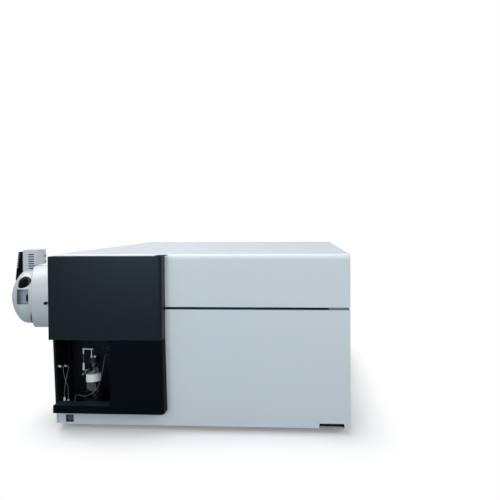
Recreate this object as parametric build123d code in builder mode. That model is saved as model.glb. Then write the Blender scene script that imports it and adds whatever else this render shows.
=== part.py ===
"""Benchtop triple-quadrupole mass spectrometer.

Frame, in millimetres: X runs along the front from left to right, Y runs from
front to back, Z is up. The origin is the centre of the bounding box in X and Y,
at the floor. The ion source hangs on the cabinet's left side, and ions fly in +X.
"""

import os
from math import atan2, cos, degrees, radians, sin, sqrt, tan

from build123d import *

os.makedirs("parts", exist_ok=True)

# ---------------------------------------------------------------- cabinet
LEFT, RIGHT = -274.0, 498.5
FRONT, BACK = -382.0, 394.0
TOP = 464.0
FOOT_H = 15.0
COVER = 3.0  # wall of the moulded covers
STEEL = 2.0
TUBE = 20.0  # square tube of the chassis
REVEAL_LOW, REVEAL_HIGH = 320.0, 327.0
CROWN_R = 15.0  # rounded front edge of the top cover
EDGE_R = 4.0

# ------------------------------------------------------- black front module
MODULE_LEFT, MODULE_RIGHT = -269.5, 20.5
MODULE_FRONT = -415.0
DOOR_LEFT = -273.0
DOOR_LOW, DOOR_HIGH = 247.0, 460.0
DOOR_BACK = -385.0
DOOR_R = 8.0
BEZEL_LOW, BEZEL_HIGH = 58.5, 245.0
BEZEL_FLARE = 4.0  # how far the bezel's foot stands out to the right
STRIP_LEFT, STRIP_HIGH = -263.0, 78.0
BAND_HIGH = 58.0
BAY_LEFT, BAY_RIGHT = -268.0, -113.5
BAY_BACK = -306.5
BAY_LOW, BAY_HIGH = 60.5, 243.5
BAY_WALL = 2.5
LIP_REACH = 10.0  # how far the bay's left wall stands out at the top

# ----------------------------------------------------------------- ion source
AXIS_Y, AXIS_Z = -218.0, 329.0  # the ion axis
DRUM_R = 92.5
DRUM_WALL = 5.0
RIM_X = -424.0  # where the parting plane meets the ion axis
RIM_TILT = 24.5  # the parting plane faces left and towards the front
DOME_R, DOME_H, DOME_STEP = 80.0, 50.0, 10.0
DOME_CORNER_R = 35.0
BORE_STEPS = ((75.5, 12.0), (63.0, 35.0), (35.0, 50.0), (0.0, 55.5))  # radius and height of the bored space
RIM_GAP = 0.8

# ------------------------------------------------------------- vacuum manifold
MAN_X0, MAN_X1 = -240.0, 470.0
MAN_HALF = 82.0
MAN_WALL = 12.0
LID_T = 10.0
PUMP_X = (130.0, 375.0)
PUMP_BORE_R = 60.0
PUMP_LOW = 95.0
MAN_LOW, MAN_HIGH = AXIS_Z - MAN_HALF, AXIS_Z + MAN_HALF
MAN_FLOOR = MAN_LOW + MAN_WALL


def block(x, y, z, mode=Mode.ADD):
    """A box given by its limits along the three axes."""
    with Locations(((x[0] + x[1]) / 2, (y[0] + y[1]) / 2, (z[0] + z[1]) / 2)):
        Box(x[1] - x[0], y[1] - y[0], z[1] - z[0], mode=mode)


def rod(start, axis, radius, length, mode=Mode.ADD):
    """A cylinder that starts at a point and runs along an axis."""
    with Locations(Plane(origin=start, z_dir=axis)):
        Cylinder(radius, length, align=(Align.CENTER, Align.CENTER, Align.MIN), mode=mode)


def slots(x, y, z, count, pitch, direction):
    """A row of equal box-shaped cuts, stepped along a direction."""
    for i in range(count):
        step = [pitch * i * d for d in direction]
        block(
            (x[0] + step[0], x[1] + step[0]),
            (y[0] + step[1], y[1] + step[1]),
            (z[0] + step[2], z[1] + step[2]),
            mode=Mode.SUBTRACT,
        )


def save(built, name):
    built.part.label = name
    export_step(built.part, f"parts/{name}.step")


# The source's own frame: its Z is the parting plane's outward normal.
RIM_NORMAL = (-cos(radians(RIM_TILT)), -sin(radians(RIM_TILT)), 0)
RIM_PLANE = Plane(origin=(RIM_X, AXIS_Y, AXIS_Z), x_dir=(0, 0, 1), z_dir=RIM_NORMAL)

# ================================================================ base and chassis
PAN_X, PAN_Y = (-266.5, 495.5), (-350.0, 391.5)
PAN_TOP = 40.0
with BuildPart() as base_pan:
    block(PAN_X, PAN_Y, (FOOT_H, PAN_TOP))
    fillet(base_pan.edges().filter_by(Axis.Z), EDGE_R)
    offset(amount=-STEEL, openings=base_pan.faces().sort_by(Axis.Z)[-1])
    for pump_x in PUMP_X:
        slots((pump_x - 45, pump_x + 45), (-265, -258), (FOOT_H - 1, FOOT_H + STEEL + 1), 7, 14, (0, 1, 0))
save(base_pan, "base_pan")
DECK = FOOT_H + STEEL

FOOT_SPOTS = [(x, y) for x in (-215, 445) for y in (-325, 340)]
with BuildPart() as levelling_feet:
    with BuildSketch(Plane.XZ) as foot_profile:
        Polygon((0, 0), (19, 0), (22, 3), (20, 9), (8, 10), (8, FOOT_H), (0, FOOT_H), align=None)
    foot = revolve(axis=Axis.Z, mode=Mode.PRIVATE)
    with Locations(*[(x, y, 0) for x, y in FOOT_SPOTS]):
        add(foot)
save(levelling_feet, "levelling_feet")

POST_X, POST_Y = (-253.5, 482.0), (-290.0, 379.0)
RAIL_TOP = TOP - COVER
SHELF_Z = 228.0
with BuildPart() as chassis_frame:
    half = TUBE / 2
    for x in POST_X:
        for y in POST_Y:
            block((x - half, x + half), (y - half, y + half), (DECK, RAIL_TOP))
        for z in (DECK + TUBE, SHELF_Z, RAIL_TOP):
            block((x - half, x + half), (POST_Y[0] + half, POST_Y[1] - half), (z - TUBE, z))
    for y in POST_Y:
        block((POST_X[0] + half, POST_X[1] - half), (y - half, y + half), (RAIL_TOP - TUBE, RAIL_TOP))
save(chassis_frame, "chassis_frame")

with BuildPart() as equipment_shelf:
    block((-266, 493), (-110, 368), (SHELF_Z, SHELF_Z + STEEL))
    block((-246, 473), (-110, -108), (SHELF_Z + STEEL, SHELF_Z + 22))
    slots((-220, -60), (-60, -52), (SHELF_Z - 1, SHELF_Z + STEEL + 1), 6, 24, (0, 1, 0))
save(equipment_shelf, "equipment_shelf")

# ======================================================================== covers
SOURCE_HOLE_R = DRUM_R + 2.5
with BuildPart() as top_cover:
    for inset, mode in ((0.0, Mode.ADD), (COVER, Mode.SUBTRACT)):
        with BuildPart(mode=Mode.PRIVATE) as hood:
            block(
                (LEFT + inset, RIGHT - inset),
                (FRONT + inset, BACK - inset),
                (REVEAL_HIGH - inset, TOP - inset),
            )
            crown = hood.faces().sort_by(Axis.Z)[-1].edges()
            fillet(crown.sort_by(Axis.Y)[0], CROWN_R - inset)
            crown = hood.edges().filter_by(Axis.Y).sort_by(Axis.Z)[-2:]
            fillet(crown, EDGE_R - inset)
        add(hood, mode=mode)
    block((LEFT - 1, MODULE_RIGHT), (FRONT - 1, FRONT + COVER), (REVEAL_HIGH - 1, TOP - CROWN_R), Mode.SUBTRACT)
    block((LEFT + COVER, RIGHT - COVER), (BACK - COVER, BACK + 1), (REVEAL_HIGH - 1, 440), Mode.SUBTRACT)
    rod((LEFT - 1, AXIS_Y, AXIS_Z), (1, 0, 0), SOURCE_HOLE_R, COVER + 2, Mode.SUBTRACT)
save(top_cover, "top_cover")

SWITCH_X, SWITCH_Z = (-246.9, -226.1), (22.3, 41.5)
SLOT_X, SLOT_Z = (419.5, 481.5), (20.3, 28.2)
FRONT_DEPTH = 36.0
COVER_LOW = FOOT_H + 2
CORNER_CUT = 8.0
with BuildPart() as lower_front_cover:
    block((MODULE_LEFT, RIGHT), (FRONT, FRONT + FRONT_DEPTH), (COVER_LOW, REVEAL_LOW))
    fillet(lower_front_cover.edges().filter_by(Axis.Z).sort_by(Axis.Y)[:2], EDGE_R)
    back_and_bottom = [
        lower_front_cover.faces().sort_by(Axis.Y)[-1],
        lower_front_cover.faces().sort_by(Axis.Z)[0],
    ]
    offset(amount=-COVER, openings=back_and_bottom)
    block((MODULE_LEFT - 1, MODULE_RIGHT), (FRONT - 1, -300), (BAND_HIGH, REVEAL_LOW + 1), Mode.SUBTRACT)
    block((MODULE_LEFT + COVER, MODULE_RIGHT), (FRONT + COVER, FRONT + FRONT_DEPTH), (BAND_HIGH - COVER, BAND_HIGH))
    block((MODULE_RIGHT, MODULE_RIGHT + COVER), (FRONT + COVER, FRONT + FRONT_DEPTH), (BAND_HIGH - COVER, REVEAL_LOW))
    block(SWITCH_X, (FRONT - 1, FRONT + COVER + 1), SWITCH_Z, Mode.SUBTRACT)
    block(SLOT_X, (FRONT - 1, FRONT + COVER + 1), SLOT_Z, Mode.SUBTRACT)
    with BuildSketch(Plane.XZ.offset(-FRONT + 1)):
        corner = (MODULE_LEFT - 1, COVER_LOW - 1)
        Polygon(
            corner,
            (corner[0], COVER_LOW + CORNER_CUT),
            (MODULE_LEFT + CORNER_CUT, corner[1]),
            align=None,
        )
    extrude(amount=-(FRONT_DEPTH + 2), mode=Mode.SUBTRACT)
save(lower_front_cover, "lower_front_cover")


def side_cover(x_outer, x_inner, y_front, lip):
    """A pressed side cover with louvres near its foot and a lip at the base pan."""
    x = (min(x_outer, x_inner), max(x_outer, x_inner))
    block(x, (y_front, BACK), (COVER_LOW, REVEAL_LOW))
    if lip:
        block((x[0], PAN_X[0]), (y_front + COVER, BACK - 2 * COVER), (COVER_LOW, COVER_LOW + COVER))
    slots((x[0] - 1, x[1] + 1), (60, 66), (60, 180), 14, 18, (0, 1, 0))


with BuildPart() as left_side_cover:
    side_cover(LEFT, LEFT + COVER, FRONT + COVER, True)
    rod((LEFT - 1, AXIS_Y, AXIS_Z), (1, 0, 0), SOURCE_HOLE_R, COVER + 2, Mode.SUBTRACT)
save(left_side_cover, "left_side_cover")

with BuildPart() as right_side_cover:
    side_cover(RIGHT, RIGHT - COVER, FRONT + FRONT_DEPTH, False)
save(right_side_cover, "right_side_cover")

FAN_X = (-150.0, 0.0)
FAN_Z = 120.0
FAN_BORE_R = 56.0
REAR_Y = (BACK - STEEL, BACK)
PORT_X = (160.0, 240.0)
PORT_Z = 90.0
INLET_X, INLET_Z = (380.0, 412.0), (60.0, 88.0)
GAS_X = (-230.0, -205.0)
GAS_Z = 300.0
REAR_SPLIT_X = 300.0
with BuildPart() as rear_panel:
    block((LEFT + COVER, REAR_SPLIT_X), REAR_Y, (COVER_LOW, 440))
    for fan_x in FAN_X:
        for i in range(9):
            z = FAN_Z + (i - 4) * 11.5
            reach = sqrt(FAN_BORE_R**2 - (z - FAN_Z) ** 2)
            block((fan_x - reach, fan_x + reach), (BACK - 3, BACK + 1), (z - 3.5, z + 3.5), Mode.SUBTRACT)
    for port_x in PORT_X:
        rod((port_x, BACK - 3, PORT_Z), (0, 1, 0), 14.0, 4, Mode.SUBTRACT)
    for gas_x in GAS_X:
        rod((gas_x, BACK - 3, GAS_Z), (0, 1, 0), 6.0, 4, Mode.SUBTRACT)
    slots((120, 280), (BACK - 3, BACK + 1), (260, 266), 8, 16, (0, 0, 1))
save(rear_panel, "rear_panel")

with BuildPart() as power_entry_panel:
    block((REAR_SPLIT_X, RIGHT - COVER), REAR_Y, (COVER_LOW, 440))
    block(INLET_X, (BACK - 3, BACK + 1), INLET_Z, Mode.SUBTRACT)
    slots((330, 470), (BACK - 3, BACK + 1), (260, 266), 8, 16, (0, 0, 1))
save(power_entry_panel, "power_entry_panel")

with BuildPart() as reveal_strip:
    block((LEFT + COVER, RIGHT - COVER), (FRONT + COVER, BACK - COVER), (312, 335))
    block((LEFT + 2 * COVER, RIGHT - 2 * COVER), (FRONT + 2 * COVER, BACK), (311, 336), Mode.SUBTRACT)
    block((LEFT, MODULE_RIGHT + COVER), (FRONT, FRONT + 3 * COVER), (311, 336), Mode.SUBTRACT)
    block((LEFT, LEFT + 3 * COVER), (FRONT, AXIS_Y + SOURCE_HOLE_R + 5), (311, 336), Mode.SUBTRACT)
    block((RIGHT - 3 * COVER, RIGHT), (FRONT + COVER, FRONT + FRONT_DEPTH), (311, 320.5), Mode.SUBTRACT)
    block((MODULE_RIGHT, RIGHT), (FRONT + COVER, FRONT + FRONT_DEPTH), (311, 320.5), Mode.SUBTRACT)
    block((RIGHT - COVER - 1.5, RIGHT), (FRONT + COVER, FRONT + COVER + 1.5), (311, 336), Mode.SUBTRACT)
save(reveal_strip, "reveal_strip")

# ============================================================== black front module
SLOT_BACK = FRONT + COVER
with BuildPart() as front_slot_grille:
    block((SLOT_X[0] - 6, SLOT_X[1] + 6), (SLOT_BACK, SLOT_BACK + 2), (SLOT_Z[0] - 1, SLOT_Z[1] + 6))
    for i in range(9):
        rib_x = SLOT_X[0] + 6 + 6.2 * i
        block((rib_x, rib_x + 1.2), (SLOT_BACK - 2, SLOT_BACK), (SLOT_Z[1] - 3, SLOT_Z[1]))
save(front_slot_grille, "front_slot_grille")

BEZEL_DEPTH = 22.0
with BuildPart() as switch_bezel:
    block(SWITCH_X, (FRONT + 0.5, FRONT + BEZEL_DEPTH), SWITCH_Z)
    inner_x = (SWITCH_X[0] + 1.6, SWITCH_X[1] - 1.6)
    block(inner_x, (FRONT, FRONT + BEZEL_DEPTH - 2), (SWITCH_Z[0] + 1.6, SWITCH_Z[1] - 1.6), Mode.SUBTRACT)
save(switch_bezel, "switch_bezel")

ROCKER_PIVOT = (FRONT + 10.0, (SWITCH_Z[0] + SWITCH_Z[1]) / 2)
ROCKER_TILT = 8.0
with BuildPart() as power_rocker:
    tilted = Plane(origin=(inner_x[0] + 0.3, ROCKER_PIVOT[0], ROCKER_PIVOT[1]), x_dir=(0, 1, 0), z_dir=(1, 0, 0))
    with BuildSketch(tilted):
        with Locations(Rotation(0, 0, ROCKER_TILT)):
            Polygon((-7, -7), (-5.2, 0), (-7, 7), (0, 6.6), (4.6, 0), (0, -6.6), align=None)
    extrude(amount=inner_x[1] - inner_x[0] - 0.6)
    fillet(power_rocker.edges().filter_by(Axis.X).sort_by(Axis.Y)[:2], 0.8)
save(power_rocker, "power_rocker")

BULKHEAD_LOW = BAY_HIGH + BAY_WALL
with BuildPart() as front_bulkhead:
    block((LEFT + COVER, MODULE_RIGHT), (FRONT, FRONT + COVER), (BULKHEAD_LOW, TOP - CROWN_R))
    for bead_x in (-200, -125, -50):
        block((bead_x, bead_x + 12), (FRONT + COVER, FRONT + COVER + 6), (260, 440))
    slots((-20, 0), (FRONT - 1, FRONT + COVER + 1), (300, 306), 8, 12, (0, 0, 1))
save(front_bulkhead, "front_bulkhead")

HINGE_X, HINGE_Y = MODULE_RIGHT - DOOR_R, MODULE_FRONT + DOOR_R
PIN_R, PIN_PLAY = 3.0, 0.05
PIN_TOP_LOW, PIN_BASE_HIGH = 450.0, DOOR_LOW + 8
DOOR_EDGE_R = 1.5
with BuildPart() as front_door:
    block((DOOR_LEFT, MODULE_RIGHT), (MODULE_FRONT, DOOR_BACK), (DOOR_LOW, DOOR_HIGH))
    upright = front_door.edges().filter_by(Axis.Z).sort_by(Axis.Y)[:2].sort_by(Axis.X)
    fillet(upright[1], DOOR_R)
    offset(amount=-COVER, openings=front_door.faces().sort_by(Axis.Y)[-1])
    upright = front_door.edges().filter_by(Axis.Z).group_by(Axis.Y)[0].sort_by(Axis.X)
    fillet(upright[0], DOOR_EDGE_R)
    for low, high in ((DOOR_LOW + COVER, PIN_BASE_HIGH + 3), (PIN_TOP_LOW - 2, DOOR_HIGH - COVER)):
        rod((HINGE_X, HINGE_Y, low), (0, 0, 1), DOOR_R - COVER + 1.0, high - low)
    rod((HINGE_X, HINGE_Y, DOOR_LOW), (0, 0, 1), PIN_R + PIN_PLAY, PIN_BASE_HIGH + 1 - DOOR_LOW, Mode.SUBTRACT)
    rod((HINGE_X, HINGE_Y, PIN_TOP_LOW - 1), (0, 0, 1), PIN_R + PIN_PLAY, DOOR_HIGH - PIN_TOP_LOW + 1, Mode.SUBTRACT)
    for rib_z in (305, 355, 405):
        block((DOOR_LEFT + COVER, MODULE_RIGHT - COVER), (MODULE_FRONT + COVER, MODULE_FRONT + 8), (rib_z, rib_z + 2))
save(front_door, "front_door")

TAB_T, TAB_WING, TAB_LOW = 1.4, 8.0, 430.0
with BuildPart() as door_hinge_pins:
    block((4, MODULE_RIGHT), (MODULE_FRONT + 3, FRONT), (DOOR_HIGH + 0.5, DOOR_HIGH + 2.5))
    block((4, MODULE_RIGHT + TAB_WING), (FRONT - TAB_WING, FRONT), (DOOR_HIGH + 0.5, DOOR_HIGH + 2.5))
    block((4, MODULE_RIGHT), (FRONT - TAB_T, FRONT), (TAB_LOW, DOOR_HIGH + 0.5))
    rod((HINGE_X, HINGE_Y, PIN_TOP_LOW), (0, 0, 1), PIN_R, DOOR_HIGH + 0.5 - PIN_TOP_LOW)
    rod((HINGE_X, HINGE_Y, BEZEL_HIGH), (0, 0, 1), PIN_R, PIN_BASE_HIGH - BEZEL_HIGH)
    rod((HINGE_X, HINGE_Y, BEZEL_HIGH), (0, 0, 1), 5.0, DOOR_LOW - BEZEL_HIGH - 0.5)
save(door_hinge_pins, "door_hinge_pins")

with BuildPart() as lower_bezel:
    with BuildSketch(Plane.XZ.offset(-FRONT)):
        Polygon(
            (STRIP_LEFT, BEZEL_LOW),
            (MODULE_RIGHT + BEZEL_FLARE, BEZEL_LOW),
            (MODULE_RIGHT, BEZEL_HIGH),
            (BAY_RIGHT, BEZEL_HIGH),
            (BAY_RIGHT, STRIP_HIGH),
            (STRIP_LEFT, STRIP_HIGH),
            align=None,
        )
    extrude(amount=FRONT - MODULE_FRONT)
    front_corners = lower_bezel.faces().sort_by(Axis.X)[-1].edges().sort_by(Axis.Y)[0]
    fillet(front_corners, DOOR_R)
    offset(amount=-COVER, openings=lower_bezel.faces().sort_by(Axis.Y)[-1])
save(lower_bezel, "lower_bezel")

with BuildPart() as bay_liner:
    block(
        (BAY_LEFT - BAY_WALL, BAY_RIGHT + BAY_WALL),
        (FRONT, BAY_BACK + BAY_WALL),
        (BAY_LOW - BAY_WALL, BAY_HIGH + BAY_WALL),
    )
    block((BAY_LEFT, BAY_RIGHT), (FRONT - 1, BAY_BACK), (BAY_LOW, BAY_HIGH), Mode.SUBTRACT)
    block((BAY_LEFT, BAY_LEFT + 3), (BAY_BACK - 18, BAY_BACK - 2), (BAY_LOW, BAY_HIGH))
    block((BAY_LEFT + 31, BAY_LEFT + 52), (BAY_BACK - 3, BAY_BACK), (BAY_LOW, BAY_HIGH))
    with BuildSketch(Plane.YZ.offset(LEFT)):
        Polygon(
            (FRONT + COVER, BAND_HIGH),
            (FRONT, BAND_HIGH),
            (FRONT - LIP_REACH, BAY_HIGH + BAY_WALL),
            (FRONT + COVER, BAY_HIGH + BAY_WALL),
            align=None,
        )
    extrude(amount=BAY_LEFT - LEFT)
save(bay_liner, "bay_liner")

# --------------------------------------------------------------- calibrant delivery
BOTTLE_X, BOTTLE_Y = -190.0, -340.0
BOTTLE_R, BOTTLE_LOW = 24.0, 77.0
BOTTLE_PLAY = 0.6
with BuildPart() as bottle_holder:
    rod((BOTTLE_X, BOTTLE_Y, BAY_LOW), (0, 0, 1), BOTTLE_R + 4, 24)
    rod((BOTTLE_X, BOTTLE_Y, BOTTLE_LOW), (0, 0, 1), BOTTLE_R + BOTTLE_PLAY, 20, Mode.SUBTRACT)
    block((BOTTLE_X - 9, BOTTLE_X + 9), (BOTTLE_Y - 40, BOTTLE_Y - 20), (BOTTLE_LOW, 90), Mode.SUBTRACT)
save(bottle_holder, "bottle_holder")

GLASS = 1.8
SHOULDER_R, SHOULDER_Z = 12.0, 65.0
NECK_BORE_R, NECK_Z, BOTTLE_H = 6.7, 79.0, 95.0
with BuildPart() as calibrant_bottle:
    with BuildSketch(Plane.XZ):
        with BuildLine():
            Polyline((0, 0), (BOTTLE_R - 2, 0), (BOTTLE_R, 2), (BOTTLE_R, SHOULDER_Z))
            shoulder = CenterArc((BOTTLE_R - SHOULDER_R, SHOULDER_Z), SHOULDER_R, 0, 60)
            Polyline(
                shoulder @ 1,
                (NECK_BORE_R + GLASS, NECK_Z + 1),
                (NECK_BORE_R + GLASS, BOTTLE_H),
                (NECK_BORE_R, BOTTLE_H),
                (NECK_BORE_R, NECK_Z),
                (BOTTLE_R - GLASS - 6, SHOULDER_Z + 7),
                (BOTTLE_R - GLASS - 1, SHOULDER_Z),
                (BOTTLE_R - GLASS, SHOULDER_Z - 3),
                (BOTTLE_R - GLASS, 3),
                (0, 3),
                (0, 0),
            )
        make_face()
    revolve(axis=Axis.Z)
    calibrant_bottle.part.locate(Location((BOTTLE_X, BOTTLE_Y, BOTTLE_LOW)))
save(calibrant_bottle, "calibrant_bottle")

CAP_LOW = BOTTLE_LOW + 91.0
CAP_TOP = 182.0
NECK_IN_CAP = BOTTLE_LOW + BOTTLE_H - CAP_LOW
with BuildPart() as bottle_cap:
    rod((BOTTLE_X, BOTTLE_Y, CAP_LOW), (0, 0, 1), 13.0, CAP_TOP - CAP_LOW)
    chamfer(bottle_cap.faces().sort_by(Axis.Z)[-1].edges(), 1.2)
    rod((BOTTLE_X, BOTTLE_Y, CAP_LOW - 1), (0, 0, 1), NECK_BORE_R + GLASS, NECK_IN_CAP + 1, Mode.SUBTRACT)
save(bottle_cap, "bottle_cap")

LINE_Y = BOTTLE_Y - 5.0  # the bottle's own line runs a little in front of its axis
TEE_X, TEE_Z = (-217.2, -189.0), 205.0
CAP_PORTS = (-193.5, -184.0)
UNION = (BAY_LEFT, -376.0, 167.0)
WALL_PORT = (BAY_LEFT, -345.5, 158.5)
FLOOR_PORTS = ((-259.4, -365.0, 80.0), (-250.5, -362.0, 74.0), (-229.0, -367.0, 70.0))
BACK_PORT = (-232.0, BAY_BACK - 3, 126.0)
SLEEVE_X, SLEEVE_Z = -215.5, (148.0, 167.0)
FITTING_R, FITTING_L = 2.6, 6.0
with BuildPart() as tube_fittings:
    for port_x in CAP_PORTS:
        rod((port_x, LINE_Y, CAP_TOP), (0, 0, 1), FITTING_R, 5)
    rod((CAP_PORTS[0], LINE_Y, CAP_TOP + 5), (0, 0, 1), 1.3, TEE_Z - CAP_TOP - 5)
    rod((TEE_X[1], LINE_Y, TEE_Z), (-1, 0, 0), 1.7, TEE_X[1] - TEE_X[0])
    rod((SLEEVE_X, LINE_Y, TEE_Z), (0, 0, -1), 1.7, 13)
    rod((SLEEVE_X, LINE_Y, SLEEVE_Z[0]), (0, 0, 1), FITTING_R, SLEEVE_Z[1] - SLEEVE_Z[0])
    for port in (UNION, WALL_PORT):
        rod(port, (1, 0, 0), FITTING_R, FITTING_L)
    rod(BACK_PORT, (0, -1, 0), FITTING_R, FITTING_L)
    for port in FLOOR_PORTS:
        rod((port[0], port[1], BAY_LOW), (0, 0, 1), FITTING_R, port[2] - BAY_LOW)
save(tube_fittings, "tube_fittings")

VALVE_X, VALVE_Z, VALVE_R = -150.0, 205.0, 21.0
with BuildPart() as selector_valve:
    rod((VALVE_X, BAY_BACK, VALVE_Z), (0, -1, 0), VALVE_R, 22)
    rod((VALVE_X, BAY_BACK - 22, VALVE_Z), (0, -1, 0), VALVE_R - 4, 12)
    with Locations(Plane(origin=(VALVE_X, BAY_BACK - 34, VALVE_Z), z_dir=(0, -1, 0))):
        with PolarLocations(11, 6):
            Cylinder(2.6, 6, align=(Align.CENTER, Align.CENTER, Align.MIN))
save(selector_valve, "selector_valve")

LINE_R = 0.7


def bend_radii(points):
    """The largest bend at each inner corner that leaves a tenth of its shorter run straight."""
    radii = []
    for before, corner, after in zip(points, points[1:], points[2:]):
        run_in, run_out = Vector(corner) - Vector(before), Vector(after) - Vector(corner)
        half_turn = radians(run_in.get_angle(run_out)) / 2
        radii.append(0.45 * min(run_in.length, run_out.length) / tan(half_turn))
    return radii


with BuildPart() as transfer_tubing:
    union_line = (
        (UNION[0] + FITTING_L, UNION[1], UNION[2]),
        (-256, -376, 167),
        (-256.5, -373.5, 148),
        (-252, -370, 124),
        (-248, -366, 108),
        (FLOOR_PORTS[1][0], FLOOR_PORTS[1][1], 92),
        FLOOR_PORTS[1],
    )
    floor_line = (
        FLOOR_PORTS[0],
        (FLOOR_PORTS[0][0], FLOOR_PORTS[0][1], 98),
        (-256.8, -360, 130),
        (-255.5, WALL_PORT[1], WALL_PORT[2]),
        (WALL_PORT[0] + FITTING_L, WALL_PORT[1], WALL_PORT[2]),
    )
    valve_line = (
        (VALVE_X, BAY_BACK - 40, VALVE_Z - 11),
        (VALVE_X, -360, VALVE_Z - 11),
        (-148.5, -372, 174),
        (-151.5, -375, 146),
        (-160, -376, 117),
        (-177, -377, 96),
        (-200, -376.5, 87),
        (-218, -373.5, 92),
        (FLOOR_PORTS[2][0], FLOOR_PORTS[2][1], 85),
        FLOOR_PORTS[2],
    )
    bottle_line = (
        (SLEEVE_X, LINE_Y, SLEEVE_Z[0]),
        (SLEEVE_X, LINE_Y, 142),
        (-221, -338, 131),
        (BACK_PORT[0], -323, BACK_PORT[2]),
        (BACK_PORT[0], BACK_PORT[1] - FITTING_L, BACK_PORT[2]),
    )
    rod((SLEEVE_X, LINE_Y, SLEEVE_Z[1]), (0, 0, 1), LINE_R, TEE_Z - 13 - SLEEVE_Z[1])
    for points in (union_line, floor_line, valve_line, bottle_line):
        with BuildLine() as route:
            FilletPolyline(*points, radius=bend_radii(points))
        with BuildSketch(Plane(origin=route.wire() @ 0, z_dir=route.wire() % 0)):
            Circle(LINE_R)
        sweep(path=route.wire())
save(transfer_tubing, "transfer_tubing")

# ==================================================================== ion source
SEAT_X = LEFT + COVER  # inner face of the cabinet's left wall
NECK_R = 62.0
CUT_REACH = 400.0


def beyond_rim(distance):
    """The half-space on the outer side of the parting plane, as a cutting block."""
    with Locations(RIM_PLANE.offset(distance)):
        Box(CUT_REACH, CUT_REACH, CUT_REACH, align=(Align.CENTER, Align.CENTER, Align.MIN), mode=Mode.SUBTRACT)


HINGE_SIDE = DRUM_R + 8.0  # how far behind the ion axis the source's hinge stands
HINGE_POINT = (
    RIM_X - HINGE_SIDE * sin(radians(RIM_TILT)) / cos(radians(RIM_TILT)),
    AXIS_Y + HINGE_SIDE,
)
RING_T = 7.0  # seat ring just inside the parting plane
RING_BORE_R = 64.0
HINGE_OUT = HINGE_SIDE / cos(radians(RIM_TILT))
KNUCKLE_R, KNUCKLE_HALF, KNUCKLE_SPAN = 8.0, 10.0, 30.0
SOURCE_PIN_R = 4.0
DRAIN_X, DRAIN_BORE_R, DRAIN_L = -345.0, 6.5, 9.0
DRAIN_SEAT_Z = AXIS_Z - DRUM_R - 3
DRAIN_HOLE_R = 5.0  # the drum's own hole is narrower than the bore of the port
with BuildPart() as source_housing:
    rod((SEAT_X, AXIS_Y, AXIS_Z), (-1, 0, 0), DRUM_R, 260)
    beyond_rim(0)
    chamfer(source_housing.edges().sort_by(Axis.X)[0], 1.5)
    with BuildPart(mode=Mode.PRIVATE) as drum_cavity:
        rod((SEAT_X - 14, AXIS_Y, AXIS_Z), (-1, 0, 0), DRUM_R - DRUM_WALL, 260)
        beyond_rim(-RING_T - 3)
    add(drum_cavity, mode=Mode.SUBTRACT)
    with BuildPart(mode=Mode.PRIVATE) as rim_recess:
        rod((SEAT_X, AXIS_Y, AXIS_Z), (-1, 0, 0), DRUM_R - DRUM_WALL, 260)
        with Locations(RIM_PLANE.offset(-3)):
            Box(CUT_REACH, CUT_REACH, CUT_REACH, align=(Align.CENTER, Align.CENTER, Align.MAX), mode=Mode.SUBTRACT)
    add(rim_recess, mode=Mode.SUBTRACT)
    with Locations(RIM_PLANE.offset(-2 * RING_T)):
        Cylinder(RING_BORE_R, 40, align=(Align.CENTER, Align.CENTER, Align.MIN), mode=Mode.SUBTRACT)
    rod((SEAT_X, AXIS_Y, AXIS_Z), (-1, 0, 0), NECK_R, 16, Mode.SUBTRACT)
    rod((DRAIN_X, AXIS_Y, DRAIN_SEAT_Z), (0, 0, 1), DRAIN_BORE_R + 5, 6)
    rod((DRAIN_X, AXIS_Y, DRAIN_SEAT_Z - 1), (0, 0, 1), DRAIN_HOLE_R, 12, Mode.SUBTRACT)
    for side in (-1, 1):
        middle = side * (KNUCKLE_SPAN + KNUCKLE_HALF + 0.4) / 2
        width = KNUCKLE_SPAN - KNUCKLE_HALF - 0.4
        with Locations(RIM_PLANE * Location((middle, (HINGE_OUT + 94) / 2, -6))):
            Box(width, HINGE_OUT - 94, 9)
        with Locations(RIM_PLANE * Location((middle, HINGE_OUT, 0), (0, 90, 0))):
            Cylinder(KNUCKLE_R, width)
    with Locations(RIM_PLANE * Location((0, HINGE_OUT, 0), (0, 90, 0))):
        Cylinder(SOURCE_PIN_R, 2 * KNUCKLE_SPAN + 2, mode=Mode.SUBTRACT)
save(source_housing, "source_housing")

with BuildPart() as drain_port:
    rod((DRAIN_X, AXIS_Y, DRAIN_SEAT_Z), (0, 0, -1), DRAIN_BORE_R + 2.5, DRAIN_L)
    rod((DRAIN_X, AXIS_Y, DRAIN_SEAT_Z), (0, 0, -1), DRAIN_BORE_R + 5, 2.5)
    rod((DRAIN_X, AXIS_Y, DRAIN_SEAT_Z - 5), (0, 0, -1), DRAIN_BORE_R + 3.2, 1.5)
    rod((DRAIN_X, AXIS_Y, DRAIN_SEAT_Z + 1), (0, 0, -1), DRAIN_BORE_R, DRAIN_L + 2, Mode.SUBTRACT)
save(drain_port, "drain_port")

SCREW_X, SCREW_Z, SCREW_R = -337.0, 323.0, 4.2
with BuildPart() as housing_screw:
    rod((SCREW_X, AXIS_Y - DRUM_R - 7, SCREW_Z), (0, 1, 0), SCREW_R, 7 + DRUM_WALL)
    with BuildPart(mode=Mode.PRIVATE) as drum_body:
        rod((SEAT_X, AXIS_Y, AXIS_Z), (-1, 0, 0), DRUM_R, 200)
    add(drum_body, mode=Mode.SUBTRACT)
save(housing_screw, "housing_screw")

with BuildPart() as source_hinge_pin:
    with Locations(RIM_PLANE * Location((0, HINGE_OUT, 0), (0, 90, 0))):
        Cylinder(SOURCE_PIN_R, 2 * KNUCKLE_SPAN)
    with Locations(RIM_PLANE * Location((KNUCKLE_SPAN + 1, HINGE_OUT, 0), (0, 90, 0))):
        Cylinder(KNUCKLE_R - 2, 2)
save(source_hinge_pin, "source_hinge_pin")

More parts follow.
